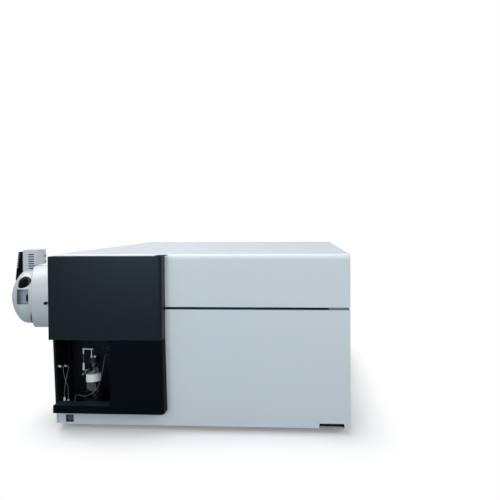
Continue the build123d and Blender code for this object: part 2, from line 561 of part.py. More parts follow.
PROFILE_PLANE = Plane(
    origin=(RIM_X, AXIS_Y, AXIS_Z),
    x_dir=(0, 0, 1),
    z_dir=(sin(radians(RIM_TILT)), -cos(radians(RIM_TILT)), 0),
)


# The cap's profile is a corner arc that runs tangentially into a flatter crown arc.
CORNER_OUT = DOME_R - DOME_CORNER_R
DOME_CROWN_R = (CORNER_OUT**2 + DOME_H**2 - DOME_CORNER_R**2) / (2 * (DOME_H - DOME_CORNER_R))
CROWN_DROP = DOME_CROWN_R - DOME_H
KNEE = degrees(atan2(CROWN_DROP, CORNER_OUT))


def dome(inset, mode=Mode.ADD):
    """The domed cap on its short skirt, revolved about the parting plane's normal."""
    with BuildSketch(PROFILE_PLANE) as cap:
        with BuildLine():
            foot = Line((0, RIM_GAP), (DOME_R - inset, RIM_GAP))
            skirt = Line(foot @ 1, (DOME_R - inset, DOME_STEP))
            corner = CenterArc((CORNER_OUT, DOME_STEP), DOME_CORNER_R - inset, 0, KNEE)
            crown = CenterArc((0, DOME_STEP - CROWN_DROP), DOME_CROWN_R - inset, KNEE, 90 - KNEE)
            Line(crown @ 1, foot @ 0)
        make_face()
    revolve(cap.sketch, axis=Axis(PROFILE_PLANE.origin, RIM_NORMAL), mode=mode)


def bored(inset, mode=Mode.SUBTRACT):
    """The chamber's inner form, bored in cylindrical and tapered steps behind the domed wall."""
    with BuildSketch(PROFILE_PLANE) as bore:
        Polygon(
            (0, RIM_GAP),
            (BORE_STEPS[0][0] - inset, RIM_GAP),
            *((radius - inset, height - inset) for radius, height in BORE_STEPS),
            align=None,
        )
    revolve(bore.sketch, axis=Axis(PROFILE_PLANE.origin, RIM_NORMAL), mode=mode)


def in_rim(x, y, z, mode=Mode.ADD):
    """A box given in the parting plane's frame: up, towards the hinge, outwards."""
    centre = ((x[0] + x[1]) / 2, (y[0] + y[1]) / 2, (z[0] + z[1]) / 2)
    with Locations(RIM_PLANE * Location(centre)):
        Box(x[1] - x[0], y[1] - y[0], z[1] - z[0], mode=mode)


WINDOW_AT = (49.2, -59.4, 23.4)
WINDOW_DIR = (0.58, -0.70, 0.405)
WINDOW_R, PANE_T = 19.5, 3.5
WINDOW_PLANE = RIM_PLANE * Plane(origin=WINDOW_AT, z_dir=WINDOW_DIR)
POCKET_X, POCKET_Y, POCKET_Z = (-13.0, 29.0), (-95.0, -50.0), (9.0, 40.0)
POCKET_WALL = 3.0
BUTTON_AT = (3.0, -64.0)
BUTTON_R, BUTTON_STEM_R, BUTTON_TRAVEL = 10.0, 4.0, 2.5
NEB_X, NEB_Y, NEB_R = -440.0, -222.0, 6.0
with BuildPart() as spray_chamber:
    dome(0)
    bored(0)
    with BuildPart(mode=Mode.PRIVATE) as pocket_block:
        bored(-1.5, Mode.ADD)
        in_rim(
            (POCKET_X[0] - POCKET_WALL, POCKET_X[1] + POCKET_WALL),
            (POCKET_Y[0], POCKET_Y[1] + POCKET_WALL),
            (POCKET_Z[0] - POCKET_WALL, POCKET_Z[1] + POCKET_WALL),
            Mode.INTERSECT,
        )
    add(pocket_block)
    in_rim(POCKET_X, POCKET_Y, POCKET_Z, Mode.SUBTRACT)
    with Locations(RIM_PLANE * Location((*BUTTON_AT, POCKET_Z[0] - POCKET_WALL / 2))):
        Cylinder(BUTTON_STEM_R + PIN_PLAY, POCKET_WALL + 2, mode=Mode.SUBTRACT)
    with Locations(WINDOW_PLANE):
        Cylinder(WINDOW_R, 30, mode=Mode.SUBTRACT)
    in_rim((-KNUCKLE_HALF, KNUCKLE_HALF), (DOME_R - 3, HINGE_OUT), (RIM_GAP, RIM_GAP + 7))
    with Locations(RIM_PLANE * Location((0, HINGE_OUT, 0), (0, 90, 0))):
        Cylinder(KNUCKLE_R, 2 * KNUCKLE_HALF)
        Cylinder(SOURCE_PIN_R + PIN_PLAY, 2 * KNUCKLE_HALF + 2, mode=Mode.SUBTRACT)
    rod((NEB_X, NEB_Y, 350), (0, 0, 1), NEB_R, 80, Mode.SUBTRACT)
save(spray_chamber, "spray_chamber")

with BuildPart() as chamber_window:
    dome(0.6)
    with Locations(WINDOW_PLANE * Location((0, 0, -PANE_T))):
        Cylinder(WINDOW_R, 30, align=(Align.CENTER, Align.CENTER, Align.MIN), mode=Mode.INTERSECT)
save(chamber_window, "chamber_window")

with BuildPart() as latch_button:
    with Locations(RIM_PLANE * Location((*BUTTON_AT, POCKET_Z[0] + BUTTON_TRAVEL + 0.3))):
        Cylinder(BUTTON_R, 3.5, align=(Align.CENTER, Align.CENTER, Align.MIN))
        Cylinder(BUTTON_STEM_R, 8.0, align=(Align.CENTER, Align.CENTER, Align.MAX))
    chamfer(latch_button.edges().sort_by(Axis.X)[0], 0.8)
save(latch_button, "latch_button")

HEAT_X, HEAT_Y = (-449.0, -410.0), (-237.0, -183.0)
HEAT_TOP = 467.5
HEAT_LOW = AXIS_Z + DRUM_R + 1.0
HEAT_WALL = 3.0
LOUVRE_X = (-433.0, -415.0)
with BuildPart() as heater_housing:
    block(HEAT_X, HEAT_Y, (390, HEAT_LOW))
    with Locations(RIM_PLANE.offset(RIM_GAP)):
        Box(CUT_REACH, CUT_REACH, CUT_REACH, align=(Align.CENTER, Align.CENTER, Align.MAX), mode=Mode.SUBTRACT)
    block(HEAT_X, HEAT_Y, (HEAT_LOW, HEAT_TOP))
    dome(0, Mode.SUBTRACT)
    fillet(heater_housing.faces().sort_by(Axis.Z)[-1].edges(), 1.5)
    block(
        (HEAT_X[0] + HEAT_WALL, HEAT_X[1] - HEAT_WALL),
        (HEAT_Y[0] + HEAT_WALL, HEAT_Y[1] - HEAT_WALL),
        (HEAT_LOW + HEAT_WALL, HEAT_TOP - HEAT_WALL),
        Mode.SUBTRACT,
    )
    slots(LOUVRE_X, (HEAT_Y[0] - 1, HEAT_Y[0] + HEAT_WALL + 1), (452, 455.4), 7, -6.8, (0, 0, 1))
    rod((NEB_X, NEB_Y, 380), (0, 0, 1), NEB_R, 60, Mode.SUBTRACT)
save(heater_housing, "heater_housing")

with BuildPart() as nebulizer:
    rod((NEB_X, NEB_Y, 366), (0, 0, 1), NEB_R, 76)
    rod((NEB_X, NEB_Y, 356), (0, 0, 1), 3.5, 10)
    rod((NEB_X, NEB_Y, 351), (0, 0, 1), 1.2, 5)
    rod((NEB_X, NEB_Y, 442), (0, 0, 1), 4.0, 8)
save(nebulizer, "nebulizer")

with BuildPart() as gas_connectors:
    rod((HEAT_X[1], -191, 447), (1, 0, 0), 3.5, 4)
    rod((HEAT_X[1], -188, 430), (1, 0, 0), 3.0, 3)
save(gas_connectors, "gas_connectors")

GUARD_Y = (-197.0, -150.0)
GUARD_TOP_X, GUARD_TOP = -488.5, 459.0
GUARD_SLANT = 0.117  # the outer edge leans out by this much for each millimetre down
NOTCHES, NOTCH_TOP, NOTCH_PITCH, NOTCH_DEEP = 7, 455.0, 6.8, 4.5
with BuildPart() as ribbed_guard:
    with BuildSketch(Plane.XZ.offset(-GUARD_Y[0])):
        Polygon((-488.5, 459), (HEAT_X[0], 459), (HEAT_X[0], 398), (-470, 372), (-498.5, 372), (-494, 412), align=None)
    extrude(amount=GUARD_Y[0] - GUARD_Y[1])
    fillet(ribbed_guard.edges().filter_by(Axis.Y).sort_by(Axis.Z)[-2:], 2.0)
    dome(0, Mode.SUBTRACT)
    with Locations(RIM_PLANE.offset(RIM_GAP)):
        Box(CUT_REACH, CUT_REACH, CUT_REACH, align=(Align.CENTER, Align.CENTER, Align.MAX), mode=Mode.SUBTRACT)
    for i in range(NOTCHES):
        notch_top = NOTCH_TOP - NOTCH_PITCH * i
        edge_x = GUARD_TOP_X - GUARD_SLANT * (GUARD_TOP - notch_top)
        reach = (edge_x - 10, edge_x + NOTCH_DEEP)
        block(reach, (GUARD_Y[0] - 1, GUARD_Y[1] + 1), (notch_top - NOTCH_PITCH / 2, notch_top), Mode.SUBTRACT)
save(ribbed_guard, "ribbed_guard")

# ============================================================ vacuum system and optics
STAGE_WALLS = (-122.0, -56.0, 56.0)
STAGE_BORE_R = 12.0
NECK_END = SEAT_X - 14.0
CAPILLARY_R = 3.2
with BuildPart() as vacuum_manifold:
    block((MAN_X0, MAN_X1), (AXIS_Y - MAN_HALF, AXIS_Y + MAN_HALF), (MAN_LOW, MAN_HIGH))
    block(
        (MAN_X0 + MAN_WALL, MAN_X1 - MAN_WALL),
        (AXIS_Y - MAN_HALF + MAN_WALL, AXIS_Y + MAN_HALF - MAN_WALL),
        (MAN_FLOOR, MAN_HIGH),
        Mode.SUBTRACT,
    )
    rod((MAN_X0, AXIS_Y, AXIS_Z), (-1, 0, 0), NECK_R, MAN_X0 - NECK_END)
    rod((MAN_X0 + 1, AXIS_Y, AXIS_Z), (-1, 0, 0), NECK_R - 14, MAN_X0 - NECK_END - 9, Mode.SUBTRACT)
    for wall_x in STAGE_WALLS:
        block((wall_x - 3, wall_x + 3), (AXIS_Y - MAN_HALF + 1, AXIS_Y + MAN_HALF - 1), (MAN_FLOOR, MAN_HIGH))
    rod((NECK_END + 10, AXIS_Y, AXIS_Z), (-1, 0, 0), CAPILLARY_R, 12, Mode.SUBTRACT)
    rod((MAN_X0 - 1, AXIS_Y, AXIS_Z), (1, 0, 0), STAGE_BORE_R, 310, Mode.SUBTRACT)
    for pump_x in PUMP_X:
        rod((pump_x, AXIS_Y, MAN_LOW - 1), (0, 0, 1), PUMP_BORE_R - 8, MAN_WALL + 2, Mode.SUBTRACT)
save(vacuum_manifold, "vacuum_manifold")

with BuildPart() as manifold_lid:
    block((MAN_X0, MAN_X1), (AXIS_Y - MAN_HALF, AXIS_Y + MAN_HALF), (MAN_HIGH, MAN_HIGH + LID_T))
    chamfer(manifold_lid.faces().sort_by(Axis.Z)[-1].edges(), 2)
    with Locations((70, AXIS_Y, MAN_HIGH + LID_T)):
        with GridLocations(220, 0, 3, 1):
            Box(160, 90, 5, align=(Align.CENTER, Align.CENTER, Align.MAX), mode=Mode.SUBTRACT)
save(manifold_lid, "manifold_lid")

with BuildPart() as spray_shield:
    with BuildSketch(Plane.XZ.offset(-AXIS_Y)):
        Polygon((0, 0), (0, 24), (-6, 24), (-26, 10), (-27, 4), (-22, 4), (0, 18), align=None)
    revolve(axis=Axis((0, AXIS_Y, 0), (1, 0, 0)))
    spray_shield.part.locate(Location((NECK_END, 0, AXIS_Z)))
save(spray_shield, "spray_shield")

CAPILLARY_X = (NECK_END - 18.0, MAN_X0 + 30.0)
with BuildPart() as inlet_capillary:
    rod((CAPILLARY_X[0], AXIS_Y, AXIS_Z), (1, 0, 0), CAPILLARY_R, CAPILLARY_X[1] - CAPILLARY_X[0])
    rod((CAPILLARY_X[0] - 1, AXIS_Y, AXIS_Z), (1, 0, 0), 0.6, 120, Mode.SUBTRACT)
save(inlet_capillary, "inlet_capillary")

FUNNELS = ((-200.0, 20.0), (-110.0, 14.0))  # start and entrance radius
RING_PITCH, RING_COUNT = 9.0, 6
with BuildPart() as ion_funnels:
    for start, entrance in FUNNELS:
        for i in range(RING_COUNT):
            ring_x = start + RING_PITCH * i
            opening = entrance - (entrance - 3) * i / (RING_COUNT - 1)
            block((ring_x, ring_x + 2), (AXIS_Y - 30, AXIS_Y + 30), (AXIS_Z - 30, AXIS_Z + 30))
            rod((ring_x - 1, AXIS_Y, AXIS_Z), (1, 0, 0), opening, 4, Mode.SUBTRACT)
        length = RING_PITCH * (RING_COUNT - 1) + 2
        for side in (-1, 1):
            post_y = AXIS_Y + side * 26
            block((start, start + length), (post_y - 3, post_y + 3), (MAN_FLOOR, AXIS_Z - 27))
save(ion_funnels, "ion_funnels")

ROD_R, ROD_OFFSET = 8.0, 16.5
OCT_X, QUAD_1_X, CELL_X, QUAD_3_X = (-46.0, 48.0), (62.0, 198.0), (208.0, 296.0), (307.0, 443.0)
HOLDER_T, HOLDER_BORE_R = 5.0, 5.0


def poles(x, count, radius, offset_r, turn):
    """Parallel rods on a circle round the ion axis."""
    with Locations(Plane(origin=(x[0], AXIS_Y, AXIS_Z), x_dir=(0, 1, 0), z_dir=(1, 0, 0))):
        with PolarLocations(offset_r, count, turn):
            Cylinder(radius, x[1] - x[0], align=(Align.CENTER, Align.CENTER, Align.MIN))


for name, x in (("quadrupole_1", QUAD_1_X), ("quadrupole_3", QUAD_3_X)):
    with BuildPart() as quadrupole:
        poles(x, 4, ROD_R, ROD_OFFSET, 45)
    save(quadrupole, name)

with BuildPart() as octopole_rods:
    poles(OCT_X, 8, 3.0, 11.0, 22.5)
save(octopole_rods, "octopole_rods")

with BuildPart() as rod_holders:
    for x in (OCT_X, QUAD_1_X, QUAD_3_X):
        for plate_x in (x[0] + 6, x[1] - 6 - HOLDER_T):
            block((plate_x, plate_x + HOLDER_T), (AXIS_Y - 34, AXIS_Y + 34), (MAN_FLOOR, AXIS_Z + 34))
            rod((plate_x - 1, AXIS_Y, AXIS_Z), (1, 0, 0), HOLDER_BORE_R, HOLDER_T + 2, Mode.SUBTRACT)
    with BuildPart(mode=Mode.PRIVATE) as rod_space:
        poles(QUAD_1_X, 4, ROD_R, ROD_OFFSET, 45)
        poles(QUAD_3_X, 4, ROD_R, ROD_OFFSET, 45)
        poles(OCT_X, 8, 3.0, 11.0, 22.5)
    add(rod_space, mode=Mode.SUBTRACT)
save(rod_holders, "rod_holders")

with BuildPart() as collision_cell:
    block(CELL_X, (AXIS_Y - 30, AXIS_Y + 30), (AXIS_Z - 30, AXIS_Z + 30))
    block((CELL_X[0] + 3, CELL_X[1] - 3), (AXIS_Y - 26, AXIS_Y + 26), (AXIS_Z - 26, AXIS_Z + 26), Mode.SUBTRACT)
    rod((CELL_X[0] - 1, AXIS_Y, AXIS_Z), (1, 0, 0), 4, 90, Mode.SUBTRACT)
    for end_x in (CELL_X[0], CELL_X[1] - 8):
        block((end_x, end_x + 8), (AXIS_Y - 30, AXIS_Y + 30), (MAN_FLOOR, AXIS_Z - 30))
save(collision_cell, "collision_cell")

with BuildPart() as ion_detector:
    block((446, MAN_X1 - MAN_WALL), (AXIS_Y - 25, AXIS_Y + 25), (MAN_FLOOR, AXIS_Z + 25))
    rod((445, AXIS_Y, AXIS_Z), (1, 0, 0), 6, 8, Mode.SUBTRACT)
save(ion_detector, "ion_detector")

PUMP_WALL = 6.0
with BuildPart() as pump_housings:
    for pump_x in PUMP_X:
        rod((pump_x, AXIS_Y, PUMP_LOW), (0, 0, 1), PUMP_BORE_R + PUMP_WALL, MAN_LOW - PUMP_LOW)
        rod((pump_x, AXIS_Y, MAN_LOW - 12), (0, 0, 1), PUMP_BORE_R + 18, 12)
        rod((pump_x, AXIS_Y, PUMP_LOW + 30), (0, 0, 1), PUMP_BORE_R, 200, Mode.SUBTRACT)
        rod((pump_x, AXIS_Y + PUMP_BORE_R, PUMP_LOW + 20), (0, 1, 0), 12, 30)
        rod((pump_x, AXIS_Y, PUMP_LOW + 12), (0, 0, 1), 5.0, 30, Mode.SUBTRACT)
save(pump_housings, "pump_housings")

HUB_R, BLADE_R, BLADES = 21.0, 57.0, 12
SHAFT_R = 4.95
for number, pump_x in enumerate(PUMP_X, 1):
    with BuildPart() as turbo_rotor:
        rod((pump_x, AXIS_Y, PUMP_LOW + 34), (0, 0, 1), HUB_R, 96)
        chamfer(turbo_rotor.faces().sort_by(Axis.Z)[-1].edges(), 8)
        rod((pump_x, AXIS_Y, PUMP_LOW + 14), (0, 0, 1), SHAFT_R, 21)
        for row_z, pitch in ((PUMP_LOW + 105, 38), (PUMP_LOW + 72, -38)):
            with Locations((pump_x, AXIS_Y, row_z)):
                with PolarLocations((HUB_R + BLADE_R) / 2 - 0.5, BLADES):
                    Box(BLADE_R - HUB_R + 1, 13, 1.6, rotation=(pitch, 0, 0))
    save(turbo_rotor, f"turbo_rotor_{number}")

with BuildPart() as manifold_stand:
    for stand_x in (-180.0, 252.0):
        block((stand_x - 2, stand_x + 2), (AXIS_Y - 76, AXIS_Y + 76), (DECK, MAN_LOW))
        block((stand_x - 3, stand_x + 3), (AXIS_Y - 44, AXIS_Y + 44), (60, 200), Mode.SUBTRACT)
        block((stand_x - 14, stand_x + 14), (AXIS_Y - 76, AXIS_Y + 76), (DECK, DECK + 3))
        block((stand_x - 14, stand_x + 14), (AXIS_Y - 76, AXIS_Y + 76), (MAN_LOW - 3, MAN_LOW))
save(manifold_stand, "manifold_stand")

# ================================================================ electronics and rear
BOARD_Z = SHELF_Z + STEEL + 10
with BuildPart() as main_board:
    block((-220, 90), (-60, 260), (BOARD_Z, BOARD_Z + 2))
    for x in (-205, 75):
        for y in (-45, 245):
            rod((x, y, SHELF_Z + STEEL), (0, 0, 1), 4, 10)
    for chip in (((-180, -120), (-20, 40), 8), ((-60, -10), (0, 50), 6), ((-180, -60), (140, 180), 14)):
        block(chip[0], chip[1], (BOARD_Z + 2, BOARD_Z + 2 + chip[2]))
    slots((-185, -50), (143, 147), (BOARD_Z + 6, BOARD_Z + 17), 5, 8, (0, 1, 0))
save(main_board, "main_board")

with BuildPart() as rf_generator:
    block((150, 440), (-80, 120), (SHELF_Z + STEEL, SHELF_Z + 130))
    slots((158, 432), (-81, -75), (SHELF_Z + 20, SHELF_Z + 26), 8, 12, (0, 0, 1))
    slots((160, 168), (-70, 110), (SHELF_Z + 120, SHELF_Z + 131), 14, 20, (1, 0, 0))
save(rf_generator, "rf_generator")

with BuildPart() as power_supply:
    block((280, 470), (150, REAR_Y[0] - 32), (DECK, 170))
    slots((290, 460), (149, 153), (50, 56), 8, 13, (0, 0, 1))
save(power_supply, "power_supply")

FAN_SIZE, FAN_T = 120.0, 25.0
FAN_HUB_R, FAN_BLADE_R = 20.0, 53.0
with BuildPart() as fan_frames:
    for fan_x in FAN_X:
        block(
            (fan_x - FAN_SIZE / 2, fan_x + FAN_SIZE / 2),
            (REAR_Y[0] - FAN_T, REAR_Y[0]),
            (FAN_Z - FAN_SIZE / 2, FAN_Z + FAN_SIZE / 2),
        )
        rod((fan_x, REAR_Y[0] - FAN_T - 1, FAN_Z), (0, 1, 0), FAN_BORE_R, FAN_T + 2, Mode.SUBTRACT)
        rod((fan_x, REAR_Y[0] - FAN_T, FAN_Z), (0, 1, 0), FAN_HUB_R, 4)
        block((fan_x - 58, fan_x + 58), (REAR_Y[0] - FAN_T, REAR_Y[0] - FAN_T + 3), (FAN_Z - 3, FAN_Z + 3))
save(fan_frames, "fan_frames")

for number, fan_x in enumerate(FAN_X, 1):
    with BuildPart() as fan_rotor:
        rod((fan_x, REAR_Y[0] - FAN_T + 4.5, FAN_Z), (0, 1, 0), FAN_HUB_R, FAN_T - 6)
        with Locations(Plane(origin=(fan_x, REAR_Y[0] - FAN_T / 2 + 1, FAN_Z), x_dir=(1, 0, 0), z_dir=(0, -1, 0))):
            with PolarLocations((FAN_HUB_R + FAN_BLADE_R) / 2 - 1, 7):
                Box(FAN_BLADE_R - FAN_HUB_R + 2, 20, 1.8, rotation=(35, 0, 0))
    save(fan_rotor, f"fan_rotor_{number}")

PORT_BORE_R, PORT_R, FLANGE_R = 12.0, 13.9, 20.0
PORT_END = 415.0
with BuildPart() as foreline_ports:
    for port_x in PORT_X:
        rod((port_x, REAR_Y[0] - 20, PORT_Z), (0, 1, 0), PORT_R, PORT_END - REAR_Y[0] + 20)
        rod((port_x, PORT_END - 5, PORT_Z), (0, 1, 0), FLANGE_R, 5)
        rod((port_x, REAR_Y[0] - 20, PORT_Z), (0, 1, 0), FLANGE_R, 20)
        rod((port_x, REAR_Y[0] - 16, PORT_Z), (0, 1, 0), PORT_BORE_R, 60, Mode.SUBTRACT)
save(foreline_ports, "foreline_ports")

with BuildPart() as gas_inlets:
    for gas_x in GAS_X:
        rod((gas_x, REAR_Y[0] - 12, GAS_Z), (0, 1, 0), 9.0, 12)
        rod((gas_x, REAR_Y[0], GAS_Z), (0, 1, 0), 5.9, 16)
        rod((gas_x, REAR_Y[0] - 8, GAS_Z), (0, 1, 0), 3.0, 30, Mode.SUBTRACT)
save(gas_inlets, "gas_inlets")

with BuildPart() as ac_inlet:
    block(INLET_X, (BACK - 24, BACK), INLET_Z)
    block(
        (INLET_X[0] + 3, INLET_X[1] - 3),
        (BACK - 20, BACK + 1),
        (INLET_Z[0] + 3, INLET_Z[1] - 3),
        Mode.SUBTRACT,
    )
    for blade_x, blade_z in ((388, 70), (404, 70), (396, 79)):
        block((blade_x - 1, blade_x + 1), (BACK - 21, BACK - 4), (blade_z - 3.5, blade_z + 3.5))
save(ac_inlet, "ac_inlet")
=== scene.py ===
"""Looks of the benchtop mass spectrometer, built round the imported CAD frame."""

import math

import bmesh
import bpy
from mathutils import Matrix, Vector


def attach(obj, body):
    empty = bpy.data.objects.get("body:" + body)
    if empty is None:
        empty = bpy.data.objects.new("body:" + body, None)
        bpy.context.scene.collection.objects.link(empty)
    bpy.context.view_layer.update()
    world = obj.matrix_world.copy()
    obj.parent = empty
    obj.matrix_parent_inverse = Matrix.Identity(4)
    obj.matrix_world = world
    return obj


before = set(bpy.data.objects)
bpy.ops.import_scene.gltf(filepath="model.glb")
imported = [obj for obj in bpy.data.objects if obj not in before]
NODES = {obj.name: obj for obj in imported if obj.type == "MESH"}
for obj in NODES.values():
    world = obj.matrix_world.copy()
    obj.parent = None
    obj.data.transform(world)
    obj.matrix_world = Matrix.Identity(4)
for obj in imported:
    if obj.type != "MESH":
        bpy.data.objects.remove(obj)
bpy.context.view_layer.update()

CABINET = "cabinet"
CHAMBER = "chamber"
WHITE = (1.0, 1.0, 1.0, 1.0)


# --------------------------------------------------------------- shader nodes
def linear(*rgb):
    """Display colour, 0 to 255, as the linear colour that a shader socket takes (the sRGB curve)."""
    out = []
    for value in rgb:
        c = value / 255
        out.append(c / 12.92 if c <= 0.04045 else ((c + 0.055) / 1.055) ** 2.4)
    return (*out, 1.0)


def scaled(colour, factor):
    """The colour made darker or lighter, kept within what a screen shows."""
    return (*(min(1.0, c * factor) for c in colour[:3]), 1.0)


def feed(tree, source, socket):
    """Link a node's output to a socket, or set the socket to a constant."""
    if isinstance(source, bpy.types.NodeSocket):
        tree.links.new(source, socket)
    else:
        socket.default_value = source


def add_node(tree, kind, **sources):
    """A new node, with its named sockets linked or set."""
    made = tree.nodes.new(kind)
    for name, source in sources.items():
        feed(tree, source, made.inputs[name])
    return made


def scalar_math(tree, operation, first, second):
    """The result of a sum on two numbers, each linked or constant."""
    made = tree.nodes.new("ShaderNodeMath")
    made.operation = operation
    feed(tree, first, made.inputs[0])
    feed(tree, second, made.inputs[1])
    return made.outputs[0]


def product(tree, *factors):
    """All the factors multiplied together."""
    total = factors[0]
    for factor in factors[1:]:
        total = scalar_math(tree, "MULTIPLY", total, factor)
    return total


def vector_math(tree, operation, *sources):
    """The vector, or the number, that an operation on vectors gives."""
    made = tree.nodes.new("ShaderNodeVectorMath")
    made.operation = operation
    for socket, source in zip(made.inputs, sources):
        feed(tree, source, socket)
    gives_number = operation in ("DOT_PRODUCT", "LENGTH")
    return made.outputs["Value" if gives_number else "Vector"]


def smooth_ramp(tree, value, start, stop, low=0.0, high=1.0):
    """Goes smoothly from low to high while the value goes from start to stop."""
    limits = {"Value": value, "From Min": start, "From Max": stop, "To Min": low, "To Max": high}
    ramp = add_node(tree, "ShaderNodeMapRange", **limits)
    ramp.interpolation_type = "SMOOTHSTEP"
    return ramp.outputs["Result"]


def mix_colours(tree, factor, low, high, blend_type="MIX"):
    """Low where the factor is 0 and high where it is 1, or another blend of the two."""
    mix = tree.nodes.new("ShaderNodeMix")
    mix.data_type = "RGBA"
    mix.blend_type = blend_type
    for name, source in (("Factor", factor), ("A", low), ("B", high)):
        feed(tree, source, mix.inputs[name])
    return mix.outputs["Result"]


def mix_shaders(tree, factor, low, high):
    """The shader low where the factor is 0, and high where it is 1."""
    mix = tree.nodes.new("ShaderNodeMixShader")
    for socket, source in zip(mix.inputs, (factor, low, high)):
        tree.links.new(source, socket)
    return mix.outputs[0]


# ------------------------------------------------------------------- finishes
def surface(
    name,
    rgb,
    roughness=0.5,
    metallic=0.0,
    mottle=0.03,
    mottle_scale=7.0,
    grain=600.0,
    grain_depth=0.00004,
    speckle=0.015,
    rough_swing=0.06,
    stretch=(1, 1, 1),
    specular=0.5,
    tint=(1, 1, 1),
):
    """A procedural finish: slow colour mottle, fine speckle, uneven gloss and grain relief."""
    mat = bpy.data.materials.new(name)
    mat.use_nodes = True
    tree = mat.node_tree
    position = tree.nodes.new("ShaderNodeTexCoord").outputs["Object"]
    place = add_node(tree, "ShaderNodeMapping", Vector=position, Scale=stretch).outputs["Vector"]
    slow_noise = {"Vector": place, "Scale": mottle_scale, "Detail": 4.0, "Roughness": 0.55}
    fine_noise = {"Vector": place, "Scale": grain, "Detail": 2.0, "Roughness": 0.6}
    slow = add_node(tree, "ShaderNodeTexNoise", **slow_noise).outputs["Fac"]
    fine = add_node(tree, "ShaderNodeTexNoise", **fine_noise).outputs["Fac"]

    base = linear(*rgb)
    broad = mix_colours(tree, slow, scaled(base, 1 - mottle), scaled(base, 1 + mottle))
    darkest_fleck = (1 - 2 * speckle,) * 3 + (1,)
    flecks = mix_colours(tree, fine, darkest_fleck, WHITE)
    swing = {"To Min": roughness - rough_swing, "To Max": roughness + rough_swing}
    gloss = add_node(tree, "ShaderNodeMapRange", Value=slow, **swing)
    relief = add_node(tree, "ShaderNodeBump", Height=fine, Strength=0.6, Distance=grain_depth)

    looks = {
        "Base Color": mix_colours(tree, 1.0, broad, flecks, "MULTIPLY"),
        "Metallic": metallic,
        "Roughness": gloss.outputs["Result"],
        "Normal": relief.outputs["Normal"],
        "Specular IOR Level": specular,
        "Specular Tint": (*tint, 1.0),
    }
    for socket, source in looks.items():
        feed(tree, source, tree.nodes["Principled BSDF"].inputs[socket])
    return mat


def clear_glass(name, rgb, roughness, ior):
    """Clear glass with a faintly uneven polish."""
    polish = dict(mottle=0.02, mottle_scale=20.0, grain=60, grain_depth=0.00001, speckle=0.0)
    mat = surface(name, rgb, roughness, rough_swing=roughness * 0.5, **polish)
    shader = mat.node_tree.nodes["Principled BSDF"]
    shader.inputs["Transmission Weight"].default_value = 1.0
    shader.inputs["IOR"].default_value = ior
    return mat


# The ion source's own frame: parting-plane origin, its outward normal and its level direction.
RIM_TILT = math.radians(24.5)
RIM_ORIGIN = (-0.424, -0.218, 0.329)
RIM_OUT = (-math.cos(RIM_TILT), -math.sin(RIM_TILT), 0.0)
RIM_LEVEL = (-math.sin(RIM_TILT), math.cos(RIM_TILT), 0.0)

# The latch pocket, in that frame.
POCKET_HEIGHTS = (-0.0132, 0.0292)
POCKET_INNER = -0.0498  # painted shade from this level position towards the front
POCKET_DEPTHS = (0.0088, 0.0398)  # the painted shade, outwards from the parting plane
POCKET_EDGE = 0.0001  # half the width over which the painted shade starts or stops
# Painted shade on the pocket's walls: its darkest and its palest colour.
POCKET_SHADE_DARKEST = (20, 32, 38)
POCKET_SHADE_PALEST = (166, 188, 200)
MOUTH_SHADE = (0.022, 0.036, 1.0, 0.34)  # start, stop, and how light it is at each
UPPER_SHADE = (0.019, 0.028, 1.0, 0.5)


def shade_pocket(mat):
    """Painted shade inside the latch pocket: its walls a cool grey, darker under its upper edge and towards
    its mouth.
    """
    tree = mat.node_tree
    base_colour = tree.nodes["Principled BSDF"].inputs["Base Color"]
    plain = base_colour.links[0].from_socket
    position = tree.nodes.new("ShaderNodeTexCoord").outputs["Object"]
    place = vector_math(tree, "SUBTRACT", position, RIM_ORIGIN)
    up = vector_math(tree, "DOT_PRODUCT", place, (0, 0, 1))
    across = vector_math(tree, "DOT_PRODUCT", place, RIM_LEVEL)
    out = vector_math(tree, "DOT_PRODUCT", place, RIM_OUT)

    def above(value, limit):
        return smooth_ramp(tree, value, limit - POCKET_EDGE, limit + POCKET_EDGE)

    def below(value, limit):
        return smooth_ramp(tree, value, limit - POCKET_EDGE, limit + POCKET_EDGE, 1.0, 0.0)

    inside = product(
        tree,
        above(up, POCKET_HEIGHTS[0]),
        below(up, POCKET_HEIGHTS[1]),
        below(across, POCKET_INNER),
        above(out, POCKET_DEPTHS[0]),
        below(out, POCKET_DEPTHS[1] - POCKET_EDGE),
    )
    shade = product(tree, smooth_ramp(tree, out, *MOUTH_SHADE), smooth_ramp(tree, up, *UPPER_SHADE))
    painted_pocket_shade = mix_colours(tree, shade, linear(*POCKET_SHADE_DARKEST), linear(*POCKET_SHADE_PALEST))
    tree.links.new(mix_colours(tree, inside, plain, painted_pocket_shade), base_colour)


BLACK_TINT = (0.62, 0.88, 1.0)
SOURCE_PAINT = dict(grain=800, grain_depth=0.00003, mottle=0.012)
SATIN_MOULDING = dict(grain=1100, grain_depth=0.00006, mottle=0.06, speckle=0.05, tint=BLACK_TINT)
COARSE_MOULDING = dict(grain=900, grain_depth=0.00008, mottle=0.08, speckle=0.05)
FINE_METAL = dict(metallic=1.0, grain_depth=0.00003)

